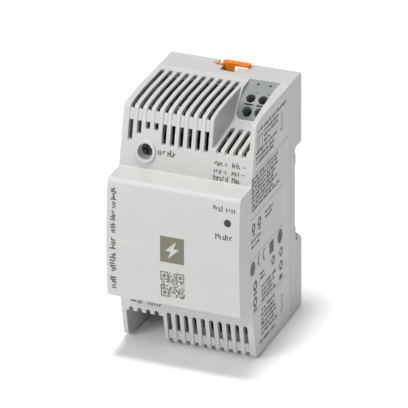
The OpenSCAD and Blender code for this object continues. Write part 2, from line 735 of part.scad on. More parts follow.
// pan head against the tab at x, with crossed slots, and a shank through to the nut
module sink_screw(x, z, length) {
  y = sink_screw_y;
  difference() {
    union() {
      xcyl(y, z, x - 2.1, x, 2.7);
      xcyl(y, z, x - 0.5, x + length, 1.45);
    }
    box([x - 3, y - 2.2, z - 0.35], [x - 1.1, y + 2.2, z + 0.35]);
    box([x - 3, y - 0.35, z - 2.2], [x - 1.1, y + 0.35, z + 2.2]);
  }
}
module heat_sink_screws() {
  color(steel) {
    sink_screw(19.9, 38, 4.6);
    sink_screw(3.8, 73, 5.2);
  }
}
module sink_nut(x, z) {
  difference() {
    translate([x, sink_screw_y, z]) rotate([0, 90, 0]) cylinder(h = 1.8, r = 2.9, $fn = 6);
    xcyl(sink_screw_y, z, x - 1, x + 4, 1.5);
  }
}
module heat_sink_nuts() {
  color(steel) {
    sink_nut(22.6, 38);
    sink_nut(6.7, 73);
  }
}

// ---------- small parts ----------
module optocouplers() {
  for (z = opto_z) {
    color(black) box([opto_x - 3.3, board_y - 3.9, z - 2.2], [opto_x + 3.3, board_y - 0.5, z + 2.2]);
    // legs leave both sides and turn down into the board
    color(steel) for (s = [-1, 1], dz = [-1.27, 1.27]) {
      translate([opto_x, 0, 0]) flank(s, 3.1, 4.0, board_y - 2.4, board_y - 2.0, z + dz - 0.3, z + dz + 0.3);
      ycyl(opto_x + s * 3.8, z + dz, board_y - 2.3, board_back + 1.2, 0.3);
    }
  }
}
module controller_chip() {
  translate([3.4, 0, 60.6]) {
    color(black) box([-1.9, board_y - 1.6, -2.4], [1.9, board_y - 0.15, 2.4]);
    color(steel) for (s = [-1, 1], i = [-1.5 : 1.5])
      flank(s, 1.8, 3.0, board_y - 0.6, board_y, i * 1.27 - 0.2, i * 1.27 + 0.2);
  }
}
module output_inductor_core() {
  color([0.75, 0.72, 0.30]) translate(inductor) rotate([0, 90, 0]) difference() {
    cylinder(h = 5.4, r = 6.2, center = true);
    cylinder(h = 9, r = 3.2, center = true);
  }
}
module output_inductor_winding() {
  color(copper) {
    // twelve turns round the ring, with a space between the two ends
    translate(inductor) rotate([0, 90, 0]) for (i = [0 : 11])
      rotate([0, 0, 20 + i * 29]) translate([4.7, 0, 0]) rotate([90, 0, 0]) difference() {
        linear_extrude(0.9, center = true) round_rect(-2.5, -3.7, 2.5, 3.7, 0.9);
        linear_extrude(3, center = true) square([3.1, 5.5], center = true);
      }
    pins(inductor_pins, 0.4, board_y - 3);
  }
}
// small surface-mounted parts at these [x, z] places
chips = [[-20, 46.5], [-17.5, 46.5], [-20, 61], [-15, 61], [-12.4, 61], [17.2, 53.4], [19.6, 60.5],
  [-21, 66], [-16.2, 64.6], [-20.6, 81.5], [-17, 81.5], [-13, 81.5], [9.6, 80.6], [-20, 59.2]];
module chip_components() {
  color([0.55, 0.45, 0.35]) for (p = chips)
    box([p[0] - 1, board_y - 0.7, p[1] - 0.6], [p[0] + 1, board_y, p[1] + 0.6]);
}

front_cover();
rear_base();
rail_latch();
latch_spring();
output_terminal_housing();
output_positive_contact();
output_negative_contact();
output_clamp_springs();
input_terminal_housing();
input_live_contact();
input_neutral_contact();
input_clamp_springs();
potentiometer_body();
potentiometer_rotor();
adjuster_spindle();
status_led();
light_pipe();
circuit_board();
transformer_core();
transformer_bobbin();
transformer_winding();
bulk_capacitor();
output_capacitors();
choke_core();
choke_windings();
choke_divider();
suppression_capacitor();
safety_capacitors();
fuse();
fuse_holder();
varistor();
inrush_thermistor();
bridge_rectifier();
switching_transistor();
output_rectifier();
primary_heat_sink();
secondary_heat_sink();
heat_sink_screws();
heat_sink_nuts();
optocouplers();
controller_chip();
output_inductor_core();
output_inductor_winding();
chip_components();
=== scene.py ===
"""Looks of the DIN rail power supply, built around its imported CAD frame."""
import math
import random

import bmesh
import bpy
from mathutils import Matrix, Vector
from mathutils.bvhtree import BVHTree


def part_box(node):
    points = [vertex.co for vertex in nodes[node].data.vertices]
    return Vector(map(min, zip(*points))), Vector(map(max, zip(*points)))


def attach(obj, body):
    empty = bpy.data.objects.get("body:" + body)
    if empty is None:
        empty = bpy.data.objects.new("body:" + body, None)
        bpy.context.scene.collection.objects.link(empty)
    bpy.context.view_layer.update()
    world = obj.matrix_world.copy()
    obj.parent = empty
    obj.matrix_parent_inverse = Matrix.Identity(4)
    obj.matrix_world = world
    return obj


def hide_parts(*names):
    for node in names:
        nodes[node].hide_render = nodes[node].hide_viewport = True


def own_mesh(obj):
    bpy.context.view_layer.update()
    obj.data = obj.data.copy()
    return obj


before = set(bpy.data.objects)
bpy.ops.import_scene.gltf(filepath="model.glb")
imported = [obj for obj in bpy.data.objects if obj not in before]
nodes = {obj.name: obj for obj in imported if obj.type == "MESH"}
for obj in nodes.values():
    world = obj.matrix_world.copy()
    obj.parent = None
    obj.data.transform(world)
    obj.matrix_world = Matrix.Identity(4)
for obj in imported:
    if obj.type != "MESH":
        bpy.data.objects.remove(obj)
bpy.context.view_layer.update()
scene = bpy.context.scene

MM = 0.001
HOUSING_LOW, HOUSING_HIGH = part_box("front_cover")
SIDE_X = HOUSING_HIGH.x
HEIGHT = HOUSING_HIGH.z
MIDDLE = HEIGHT / 2
FRONT_Y = HOUSING_LOW.y
PANEL_RADIUS = 184.4 * MM
SLANT = math.radians(13.86)
SLANT_START = Vector((0, -20.8 * MM, 67.5 * MM))
INK_LIFT = 0.02 * MM
INK_DEPTH = 0.03 * MM
WORLD_STRENGTH = 0.39
LIGHT_PROPORTION = 0.7
FLOOR_REACH = 4.0
FLOOR_DROP = 0.02 * MM
# noise mostly stays between these values, so spans start and end there
NOISE_RANGE = (0.3, 0.7)


def srgb(red, green, blue):
    """A colour given as 0 to 255 screen values, in the linear form that shaders take."""
    shares = [channel / 255 for channel in (red, green, blue)]
    linear = [share / 12.92 if share <= 0.04045 else ((share + 0.055) / 1.055) ** 2.4 for share in shares]
    return (*linear, 1.0)


# ---------- camera ----------
def make_camera():
    """A level camera whose picture plane stays upright, as on a shift lens: upright edges stay parallel."""
    turn = math.radians(21.41)
    fall = 0.4442
    distance = 1.9652
    lens = 497.9
    target = Vector((1.62, -5.05, 50.75)) * MM
    level = Vector((math.sin(turn), -math.cos(turn), 0))
    across = Vector((math.cos(turn), math.sin(turn), 0))
    up = Vector((0, 0, 1))
    sight = level + up * fall
    place = target + sight * distance
    back = sight.normalized()
    rig = bpy.data.objects.new("camera_rig", None)
    scene.collection.objects.link(rig)
    data = bpy.data.cameras.new("camera")
    data.lens = lens
    data.sensor_fit = "HORIZONTAL"
    data.clip_start, data.clip_end = 0.1, 30
    camera = bpy.data.objects.new("camera", data)
    scene.collection.objects.link(camera)
    camera.parent = rig
    # the columns of this matrix aren't square to each other: it keeps the picture plane upright
    sheared = Matrix((across, up, back)).transposed().to_4x4()
    camera.matrix_parent_inverse = Matrix.Translation(place) @ sheared
    camera.matrix_basis = Matrix.Identity(4)
    scene.camera = camera


# ---------- studio ----------
def make_light(name, place, aim, width, power):
    """A white area light, width metres wide, that points at aim."""
    data = bpy.data.lights.new(name, "AREA")
    data.shape = "RECTANGLE"
    data.size = width
    data.size_y = width * LIGHT_PROPORTION
    data.energy = power
    light = bpy.data.objects.new(name, data)
    scene.collection.objects.link(light)
    light.location = place
    light.rotation_euler = (Vector(place) - Vector(aim)).to_track_quat("Z", "Y").to_euler()


def make_studio():
    scene.view_settings.view_transform = "Standard"
    world = bpy.data.worlds.new("studio")
    world.use_nodes = True
    world.node_tree.nodes["Background"].inputs["Color"].default_value = (1, 1, 1, 1)
    world.node_tree.nodes["Background"].inputs["Strength"].default_value = WORLD_STRENGTH
    scene.world = world
    aim = (0, 0, 0.05)
    make_light("key", (-0.9, -1.5, 1.0), aim, 0.9, 16.5)
    make_light("soft_overhead", (0.1, 0.3, 1.7), aim, 1.2, 4.5)
    make_light("overhead", (-0.1, -0.1, 1.7), aim, 0.35, 17)
    make_light("front_fill", (-0.3, -1.8, 0.5), aim, 0.8, 2.5)
    mesh = bpy.data.meshes.new("floor")
    corners = [(x * FLOOR_REACH, y * FLOOR_REACH, 0) for x, y in ((-1, -1), (1, -1), (1, 1), (-1, 1))]
    mesh.from_pydata(corners, [], [(0, 1, 2, 3)])
    floor = bpy.data.objects.new("floor", mesh)
    floor.location.z = -FLOOR_DROP
    scene.collection.objects.link(floor)
    mesh.materials.append(floor_material())


# ---------- material building ----------
class Surface:
    """A material with short calls for adding nodes to it."""

    def __init__(self, name, roughness=0.5, metallic=0.0):
        self.material = bpy.data.materials.new(name)
        self.material.use_nodes = True
        self.tree = self.material.node_tree
        self.shader = self.tree.nodes["Principled BSDF"]
        self.shader.inputs["Roughness"].default_value = roughness
        self.shader.inputs["Metallic"].default_value = metallic
        self.place = self.add("TexCoord").outputs["Object"]

    def add(self, kind, inputs=None, **settings):
        node = self.tree.nodes.new("ShaderNode" + kind)
        for key, value in settings.items():
            setattr(node, key, value)
        for key, value in (inputs or {}).items():
            if isinstance(value, bpy.types.NodeSocket):
                self.tree.links.new(value, node.inputs[key])
            else:
                node.inputs[key].default_value = value
        return node

    def link(self, output, name):
        self.tree.links.new(output, self.shader.inputs[name])

    def stretched(self, x=1.0, y=1.0, z=1.0):
        """The place on the object, scaled along each axis."""
        return self.add("Mapping", {"Vector": self.place, "Scale": (x, y, z)}).outputs[0]

    def noise(self, size, detail=2.0, vector=None, rough=0.5):
        """Soft noise whose blotches are about size metres across."""
        inputs = {"Vector": vector or self.place, "Scale": 1 / size, "Detail": detail, "Roughness": rough}
        return self.add("TexNoise", inputs).outputs[0]

    def span(self, value, low, high, start=0.0, end=1.0):
        """value taken from the range start to end into the range low to high."""
        inputs = {"Value": value, "From Min": start, "From Max": end, "To Min": low, "To Max": high}
        return self.add("MapRange", inputs).outputs[0]

    def math(self, operation, first, second=0.0):
        return self.add("Math", {0: first, 1: second}, operation=operation).outputs[0]

    def mix(self, factor, first, second):
        """A blend of two colours."""
        # the node has a set of sockets for each data type, and these numbers are the ones for colour
        sockets = {0: factor, 6: first, 7: second}
        return self.add("Mix", sockets, data_type="RGBA").outputs[2]

    def relief(self, height, depth):
        """Bump of that depth in metres."""
        inputs = {"Height": height, "Distance": depth, "Strength": 1.0}
        self.link(self.add("Bump", inputs).outputs[0], "Normal")


def scaled(colour, factor):
    """The colour made lighter or darker."""
    return (*(min(1.0, channel * factor) for channel in colour[:3]), 1.0)


def moulded(name, colour, roughness=0.48, grain=0.22, depth=0.012, mottle=0.03):
    """Moulded plastic: a spark-eroded grain of that size in mm, slight mottling, and convex edges made paler
    as a painted highlight.
    """
    look = Surface(name, roughness)
    patches = look.noise(9 * MM, 4)
    mottling = look.span(patches, 0, 1, *NOISE_RANGE)
    base = look.mix(mottling, scaled(colour, 1 - mottle), scaled(colour, 1 + mottle))
    # painted highlight: faces at convex edges, found by pointiness, are mixed towards a paler colour,
    # standing in for the light that rounded edges catch
    edges = look.span(look.add("NewGeometry").outputs["Pointiness"], 0, 0.35, 0.53, 0.6)
    look.link(look.mix(edges, base, scaled(colour, 1.12)), "Base Color")
    sheen = look.noise(1.6 * MM, 3)
    look.link(look.span(sheen, roughness - 0.06, roughness + 0.06, *NOISE_RANGE), "Roughness")
    look.relief(look.noise(grain * MM, 2, rough=0.6), depth * MM)
    look.shader.inputs["Specular IOR Level"].default_value = 0.42
    return look.material


def metal(name, colour, roughness=0.3, along="x", depth=0.004):
    """Drawn or rolled metal with fine marks along one axis and faint tarnish."""
    look = Surface(name, roughness, 1.0)
    stretch = {axis: (0.06 if axis == along else 1.0) for axis in "xyz"}
    marks = look.noise(0.12 * MM, 3, look.stretched(**stretch))
    tarnish = look.noise(2.5 * MM, 4)
    look.link(look.mix(look.span(tarnish, 0, 1, 0.35, 0.7), colour, scaled(colour, 0.78)), "Base Color")
    look.link(look.span(marks, roughness - 0.08, roughness + 0.12, *NOISE_RANGE), "Roughness")
    look.relief(marks, depth * MM)
    return look.material


def floor_material():
    look = Surface("studio_floor", 0.7)
    tone = look.span(look.noise(0.4, 2), 0, 1, *NOISE_RANGE)
    look.link(look.mix(tone, (0.95, 0.95, 0.95, 1), (0.97, 0.97, 0.97, 1)), "Base Color")
    return look.material


def enamelled_wire(name, colour):
    """Copper wire under clear enamel, with a darker shade where turns lie deeper."""
    look = Surface(name, 0.28, 0.85)
    look.link(look.mix(look.noise(1.2 * MM, 3), colour, scaled(colour, 0.7)), "Base Color")
    look.relief(look.noise(0.3 * MM, 2), 0.01 * MM)
    look.shader.inputs["Coat Weight"].default_value = 0.5
    look.shader.inputs["Coat Roughness"].default_value = 0.12
    return look.material


def winding_tape(name, colour):
    """Polyester tape over a coil: fine wraps along the winding axis, with soft creases."""
    look = Surface(name, 0.3)
    wraps_per_metre = 420.0
    bands = {"Vector": look.place, "Scale": wraps_per_metre, "Distortion": 0.6}
    wraps = look.add("TexWave", bands, bands_direction="Z").outputs[1]
    look.link(look.mix(look.span(wraps, 0, 0.35), colour, scaled(colour, 0.6)), "Base Color")
    look.relief(look.math("ADD", wraps, look.noise(1.5 * MM, 3)), 0.03 * MM)
    look.shader.inputs["Coat Weight"].default_value = 0.35
    return look.material


def ferrite(name, colour):
    """Sintered ferrite: dull, fine and slightly pitted."""
    look = Surface(name, 0.62)
    pits_per_metre = 2600.0
    pits = look.add("TexVoronoi", {"Vector": look.place, "Scale": pits_per_metre}).outputs["Distance"]
    look.link(look.mix(look.noise(0.5 * MM, 5), colour, scaled(colour, 1.6)), "Base Color")
    look.relief(look.math("MINIMUM", pits, 0.35), 0.02 * MM)
    return look.material


def solder_mask(name, colour):
    """Circuit board: glossy mask over fine weave, with tracks showing as a paler pattern."""
    look = Surface(name, 0.3)
    grid = {"Vector": look.place, "Scale": 170.0, "Mortar Size": 0.012, "Mortar Smooth": 0.1}
    tracks = look.add("TexBrick", grid, offset=0.37, squash=1.6).outputs["Fac"]
    weave = look.noise(0.5 * MM, 2)
    base = look.mix(look.span(weave, 0, 0.4), colour, scaled(colour, 0.7))
    look.link(look.mix(tracks, base, scaled(colour, 2.0)), "Base Color")
    look.relief(look.math("ADD", tracks, look.math("MULTIPLY", weave, 0.2)), 0.02 * MM)
    look.shader.inputs["Coat Weight"].default_value = 0.5
    return look.material


def dipped(name, colour):
    """Epoxy-dipped component body: glossy, with a slightly wavy skin."""
    look = Surface(name, 0.22)
    look.link(look.mix(look.noise(1.4 * MM, 3), scaled(colour, 0.85), scaled(colour, 1.1)), "Base Color")
    look.relief(look.noise(1.1 * MM, 2), 0.04 * MM)
    look.shader.inputs["Coat Weight"].default_value = 0.6
    return look.material


def clear_plastic(name, colour, roughness=0.08):
    """Clear plastic with faint flow marks."""
    look = Surface(name, roughness)
    look.link(look.mix(look.noise(2 * MM, 2), colour, scaled(colour, 0.92)), "Base Color")
    look.relief(look.noise(0.8 * MM, 2), 0.004 * MM)
    look.shader.inputs["Transmission Weight"].default_value = 0.92
    look.shader.inputs["IOR"].default_value = 1.58
    return look.material


def printed_ink(name, colour):
    """Laser or pad print: flat, a little uneven in its darkness."""
    look = Surface(name, 0.6)
    look.link(look.mix(look.noise(0.25 * MM, 3), scaled(colour, 0.8), scaled(colour, 1.2)), "Base Color")
    look.relief(look.noise(0.1 * MM, 2), 0.003 * MM)
    return look.material


def shrink_sleeve(name, colour, axis, stripe):
    """Printed shrink sleeve round an upright can: a pale minus stripe on one side of the axis point."""
    look = Surface(name, 0.35)
    offset = look.add("VectorMath", {0: look.place, 1: axis}, operation="SUBTRACT").outputs[0]
    parts = look.add("SeparateXYZ", {0: offset})
    band = look.math("LESS_THAN", look.math("ABSOLUTE", parts.outputs["Z"]), stripe)
    side = look.math("GREATER_THAN", parts.outputs["X"], 0.0)
    dashes_per_metre, gap_share = 260.0, 0.22
    repeats = look.math("FRACT", look.math("MULTIPLY", parts.outputs["Y"], dashes_per_metre))
    dashes = look.math("GREATER_THAN", repeats, gap_share)
    mask = look.math("MULTIPLY", look.math("MULTIPLY", band, side), dashes)
    sleeve = look.mix(look.noise(2 * MM, 2), colour, scaled(colour, 1.4))
    look.link(look.mix(mask, sleeve, srgb(176, 178, 182)), "Base Color")
    look.relief(look.noise(0.9 * MM, 2), 0.015 * MM)
    return look.material


# ---------- soft edges on CAD nodes ----------
EDGE_ANGLE = math.radians(32)
FLAT_ANGLE = math.radians(0.5)
PLAIN_WELD = 0.0001 * MM
SHELL_WELD = 0.12 * MM
LEAST_EXPOSED = 0.32
LATCH_MARGIN = 4 * MM


def soften(name, width, segments=3, clamp=False, exposed_only=False):
    """Rounds the sharp edges of a CAD node with modifiers, which leave its own mesh as it is."""
    node = nodes[name]
    weld = node.modifiers.new("join_faces", "WELD")
    weld.merge_threshold = SHELL_WELD if exposed_only else PLAIN_WELD
    flat = node.modifiers.new("merge_flats", "DECIMATE")
    flat.decimate_type = "DISSOLVE"
    flat.angle_limit = FLAT_ANGLE
    if exposed_only:
        node.modifiers.new("pick_edges", "NODES").node_group = exposed_edges()
    bevel = node.modifiers.new("soft_edges", "BEVEL")
    bevel.limit_method = "WEIGHT" if exposed_only else "ANGLE"
    bevel.angle_limit = EDGE_ANGLE
    bevel.width = width * MM
    bevel.segments = segments
    bevel.use_clamp_overlap = clamp
    bevel.miter_outer = "MITER_ARC"
    smooth(node)
    flat_shading = node.modifiers.new("even_flats", "WEIGHTED_NORMAL")
    flat_shading.keep_sharp = True


def even_directions(count):
    """Directions spread evenly all round, each a golden angle on from the one before."""
    turn = math.pi * (3 - math.sqrt(5))
    directions = []
    for i in range(count):
        z = 1 - (2 * i + 1) / count
        level = math.sqrt(1 - z * z)
        directions.append(Vector((level * math.cos(turn * i), level * math.sin(turn * i), z)))
    return directions


def mark_exposed(names):
    """Stores on each vertex of these nodes the share of the directions above it that lead clear of them all.

    Vertices of the base near the latch get -1 instead, which keeps the edges there sharp.
    """
    same_place = 0.01 * MM
    start_gap = 0.05 * MM
    least_rise = 0.1
    points, faces = [], []
    for name in names:
        first = len(points)
        mesh = nodes[name].data
        points += [vertex.co.copy() for vertex in mesh.vertices]
        faces += [[first + i for i in polygon.vertices] for polygon in mesh.polygons]
    shell = BVHTree.FromPolygons(points, faces)
    latch = nodes["rail_latch"].data
    latch_points = [vertex.co.copy() for vertex in latch.vertices]
    beside = BVHTree.FromPolygons(latch_points, [list(polygon.vertices) for polygon in latch.polygons])
    directions = even_directions(44)
    for name in names:
        mesh = nodes[name].data
        corners = {}
        for vertex in mesh.vertices:
            key = tuple(round(value / same_place) for value in vertex.co)
            corners.setdefault(key, []).append(vertex)
        shares = [0.0] * len(mesh.vertices)
        for corner in corners.values():
            out = sum((vertex.normal for vertex in corner), Vector()).normalized()
            start = corner[0].co + out * start_gap
            above = [direction for direction in directions if direction.dot(out) > least_rise]
            clear = sum(shell.ray_cast(start, direction)[0] is None for direction in above)
            # with soft edges here, one face of the base would span the channel that the latch slides in
            nearest = beside.find_nearest(corner[0].co, LATCH_MARGIN)[0]
            near_latch = name == "rear_base" and nearest is not None
            for vertex in corner:
                shares[vertex.index] = -1.0 if near_latch else clear / max(1, len(above))
        mesh.attributes.new("exposed", "FLOAT", "POINT").data.foreach_set("value", shares)


def exposed_edges():
    """A geometry node group that gives bevel weight to the sharp edges that lie open to the outside."""
    if "exposed_edges" in bpy.data.node_groups:
        return bpy.data.node_groups["exposed_edges"]
    group, source, target = new_group("exposed_edges")
    store = group.nodes.new("GeometryNodeStoreNamedAttribute")
    store.data_type = "FLOAT"
    store.domain = "EDGE"
    store.inputs["Name"].default_value = "bevel_weight_edge"
    share = group.nodes.new("GeometryNodeInputNamedAttribute")
    share.data_type = "FLOAT"
    share.inputs["Name"].default_value = "exposed"
    angle = group.nodes.new("GeometryNodeInputMeshEdgeAngle")
    both = group.nodes.new("FunctionNodeBooleanMath")
    both.operation = "AND"
    limits = ((share.outputs[0], LEAST_EXPOSED), (angle.outputs["Unsigned Angle"], EDGE_ANGLE))
    for i, (value, least) in enumerate(limits):
        above = group.nodes.new("FunctionNodeCompare")
        above.data_type = "FLOAT"
        above.operation = "GREATER_THAN"
        above.inputs[1].default_value = least
        group.links.new(value, above.inputs[0])
        group.links.new(above.outputs[0], both.inputs[i])
    group.links.new(source.outputs[0], store.inputs["Geometry"])
    group.links.new(both.outputs[0], store.inputs["Value"])
    group.links.new(store.outputs[0], target.inputs[0])
    return group


def new_group(name):
    group = bpy.data.node_groups.new(name, "GeometryNodeTree")
    group.interface.new_socket("Geometry", in_out="INPUT", socket_type="NodeSocketGeometry")
    group.interface.new_socket("Geometry", in_out="OUTPUT", socket_type="NodeSocketGeometry")
    return group, group.nodes.new("NodeGroupInput"), group.nodes.new("NodeGroupOutput")


def smooth(obj, angle=40):
    """Shades a mesh smooth, apart from the edges sharper than angle."""
    for polygon in obj.data.polygons:
        polygon.use_smooth = True
    obj.modifiers.new("smooth_shading", "NODES").node_group = smooth_by_angle(angle)


def smooth_by_angle(angle):
    """A geometry node group that marks edges sharper than angle as sharp."""
    name = f"smooth_{angle}"
    if name in bpy.data.node_groups:
        return bpy.data.node_groups[name]
    group, source, target = new_group(name)
    faces = group.nodes.new("GeometryNodeSetShadeSmooth")
    edges = group.nodes.new("GeometryNodeSetShadeSmooth")
    edges.domain = "EDGE"
    measured = group.nodes.new("GeometryNodeInputMeshEdgeAngle")
    below = group.nodes.new("FunctionNodeCompare")
    below.data_type = "FLOAT"
    below.operation = "LESS_THAN"
    below.inputs[1].default_value = math.radians(angle)
    group.links.new(source.outputs[0], faces.inputs["Geometry"])
    group.links.new(faces.outputs[0], edges.inputs["Geometry"])
    group.links.new(measured.outputs["Unsigned Angle"], below.inputs[0])
    group.links.new(below.outputs[0], edges.inputs["Shade Smooth"])
    group.links.new(edges.outputs[0], target.inputs[0])
    return group


# ---------- giving materials to CAD nodes ----------
def paint(name, *materials, choose=None):
    """Gives a CAD node its materials; choose(centre) says which one a face takes, by number."""
    mesh = nodes[name].data
    mesh.materials.clear()
    for material in materials:
        mesh.materials.append(material)
    for polygon in mesh.polygons:
        polygon.material_index = int(choose(polygon.center)) if choose else 0


# ---------- print on the housing ----------
def on_panel(x, z):
    """A point of the bulging front panel, with the direction out of it."""
    drop = (z - MIDDLE) ** 2 / (2 * PANEL_RADIUS)
    return Vector((x, FRONT_Y + drop, z)), Vector((0, -1, 0))


def on_upper_slant(x, z):
    rise = z - SLANT_START.z
    out = Vector((0, -math.cos(SLANT), math.sin(SLANT)))
    return Vector((x, SLANT_START.y + rise * math.tan(SLANT), z)), out


def on_lower_slant(x, z):
    point, out = on_upper_slant(x, HEIGHT - z)
    return Vector((x, point.y, z)), Vector((0, out.y, -out.z))


def on_right_side(y, z):
    return Vector((SIDE_X, y, z)), Vector((1, 0, 0))


class Print:
    """Ink shapes laid on one face of the housing, as thin closed solids. Sizes are in millimetres."""

    def __init__(self, name, surface, material):
        self.name, self.surface, self.material = name, surface, material
        self.mesh = bmesh.new()

    def shape(self, points):
        """A flat shape with the given outline."""
        below, above = [], []
        for u, v in points:
            place, out = self.surface(u * MM, v * MM)
            below.append(self.mesh.verts.new(place - out * (INK_DEPTH - INK_LIFT)))
            above.append(self.mesh.verts.new(place + out * INK_LIFT))
        self.mesh.faces.new(above)
        self.mesh.faces.new(below[::-1])
        count = len(points)
        for i in range(count):
            j = (i + 1) % count
            self.mesh.faces.new((below[i], below[j], above[j], above[i]))

    def bar(self, u0, v0, u1, v1):
        """A rectangle, in pieces low enough to follow the bulge of the panel."""
        tallest = 2.5
        steps = max(1, math.ceil((v1 - v0) / tallest))
        for i in range(steps):
            low, high = v0 + (v1 - v0) * i / steps, v0 + (v1 - v0) * (i + 1) / steps
            self.shape([(u0, low), (u1, low), (u1, high), (u0, high)])

    def ring(self, u, v, outer, inner, start=0, end=360, steps=28):
        """Part of a ring, made of short pieces."""
        turns = [math.radians(start + (end - start) * i / steps) for i in range(steps + 1)]
        for a, b in zip(turns, turns[1:]):
            rim = [(outer, a), (outer, b)]
            corners = rim + ([(inner, b), (inner, a)] if inner else [(0, a)])
            self.shape([(u + reach * math.cos(turn), v + reach * math.sin(turn)) for reach, turn in corners])

    def words(self, u0, u1, v, height, seed, upright=False, weight=0.23):
        """A line of unreadable tick marks with the rhythm of words between u0 and u1."""
        draw = random.Random(seed)
        pen = weight * height
        u = u0
        while u < u1 - height:
            for _ in range(draw.randint(3, 9)):
                if u > u1 - pen:
                    break
                low = draw.choice((0, 0, 0.22)) * height
                high = draw.choice((0.7, 0.7, 1.0)) * height
                self.tick(u, v + low, pen, high - low, upright)
                if draw.random() < 0.6:
                    level = draw.choice((0.0, 0.3, 0.55)) * height
                    self.tick(u + pen, v + level, height * 0.25, pen, upright)
                u += height * draw.uniform(0.34, 0.55)
            u += height * 0.5

    def tick(self, u, v, width, height, upright):
        if upright:
            self.bar(-v - height, u, -v, u + width)
        else:
            self.bar(u, v, u + width, v + height)

    def done(self):
        bmesh.ops.recalc_face_normals(self.mesh, faces=self.mesh.faces)
        mesh = bpy.data.meshes.new(self.name)
        self.mesh.to_mesh(mesh)
        self.mesh.free()
        mesh.materials.append(self.material)
        piece = bpy.data.objects.new(self.name, mesh)
        scene.collection.objects.link(piece)
        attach(piece, "housing")
        return piece


def print_panel(ink, soft_ink):
    marks = Print("panel_print", on_panel, ink)
    # range and state legends beside the light
    marks.words(16.2, 25.4, 62.2, height=2.1, seed=3)
    marks.words(17.2, 25.0, 52.0, height=2.1, seed=5)
    # upright line along the left edge
    marks.words(26.2, 46.0, 23.1, height=2.5, seed=7, upright=True)
    marks.words(47.5, 65.0, 23.2, height=2.2, seed=8, upright=True)
    marks.done()
    badge = Print("panel_badge", on_panel, soft_ink)
    print_bolt_badge(badge, -5.0, 39.9, 9.7)
    print_code(badge, -5.0, 26.6, 9.7, 21)
    badge.done()


def print_bolt_badge(marks, x, z, size):
    """A filled square, drawn in rows, that leaves a plain zigzag flash open."""
    rows = 34
    half = size * 0.36
    middle_x, middle_z = x + size / 2, z + size / 2
    for row in range(rows):
        low, high = z + size * row / rows, z + size * (row + 1) / rows
        level = ((low + high) / 2 - middle_z) / half
        if abs(level) > 1:
            marks.bar(x, low, x + size, high)
            continue
        # each half of the flash narrows to a point; the halves overlap in the middle
        edges = []
        for sign in (1, -1):
            share = (sign * level + 0.15) / 1.15
            if share >= 0:
                edges += [sign * (-0.8 + 1.3 * share), sign * (0.05 + 0.45 * share)]
        marks.bar(x, low, middle_x + half * min(edges), high)
        marks.bar(middle_x + half * max(edges), low, x + size, high)


def print_code(marks, x, z, size, count):
    """A block of random squares that holds no data, with three plain corner squares."""
    draw = random.Random(11)
    cell = size / count
    corner = 7
    for row in range(count):
        for column in range(count):
            near = (min(column, count - 1 - column), min(row, count - 1 - row))
            in_corner = near[0] < corner and near[1] < corner and not (column > corner and row < corner)
            if in_corner:
                ring = near[0] in (0, corner - 1) or near[1] in (0, corner - 1)
                filled = ring or (2 <= near[0] <= 4 and 2 <= near[1] <= 4)
            else:
                filled = draw.random() < 0.48
            if filled:
                marks.bar(x + column * cell, z + row * cell, x + (column + 1) * cell, z + (row + 1) * cell)


def print_plus(marks, u, v, arm):
    pen = arm * 0.3
    marks.bar(u - arm, v - pen / 2, u + arm, v + pen / 2)
    marks.bar(u - pen / 2, v - arm, u + pen / 2, v - pen / 2)
    marks.bar(u - pen / 2, v + pen / 2, u + pen / 2, v + arm)


def print_slants(ink):
    upper = Print("output_print", on_upper_slant, ink)
    for row, z in enumerate((73.0, 70.4)):
        for column, x in enumerate((11.5, 18.6)):
            upper.words(x, x + 3.6, z, height=1.9, seed=20 + 2 * row + column)
    for z in (73.7, 71.1):
        print_plus(upper, 16.2, z, 0.75)
        upper.bar(22.6, z - 0.12, 24.1, z + 0.12)
    upper.words(11.4, 22.4, 67.9, height=1.9, seed=30)
    # turning range beside the adjuster
    upper.words(-11.6, -3.6, 73.2, height=2.3, seed=31)
    upper.done()
    lower = Print("input_print", on_lower_slant, ink)
    lower.words(-22.6, -17.6, 15.4, height=1.8, seed=40)
    lower.words(-15.6, -9.6, 15.4, height=1.8, seed=41)
    lower.done()


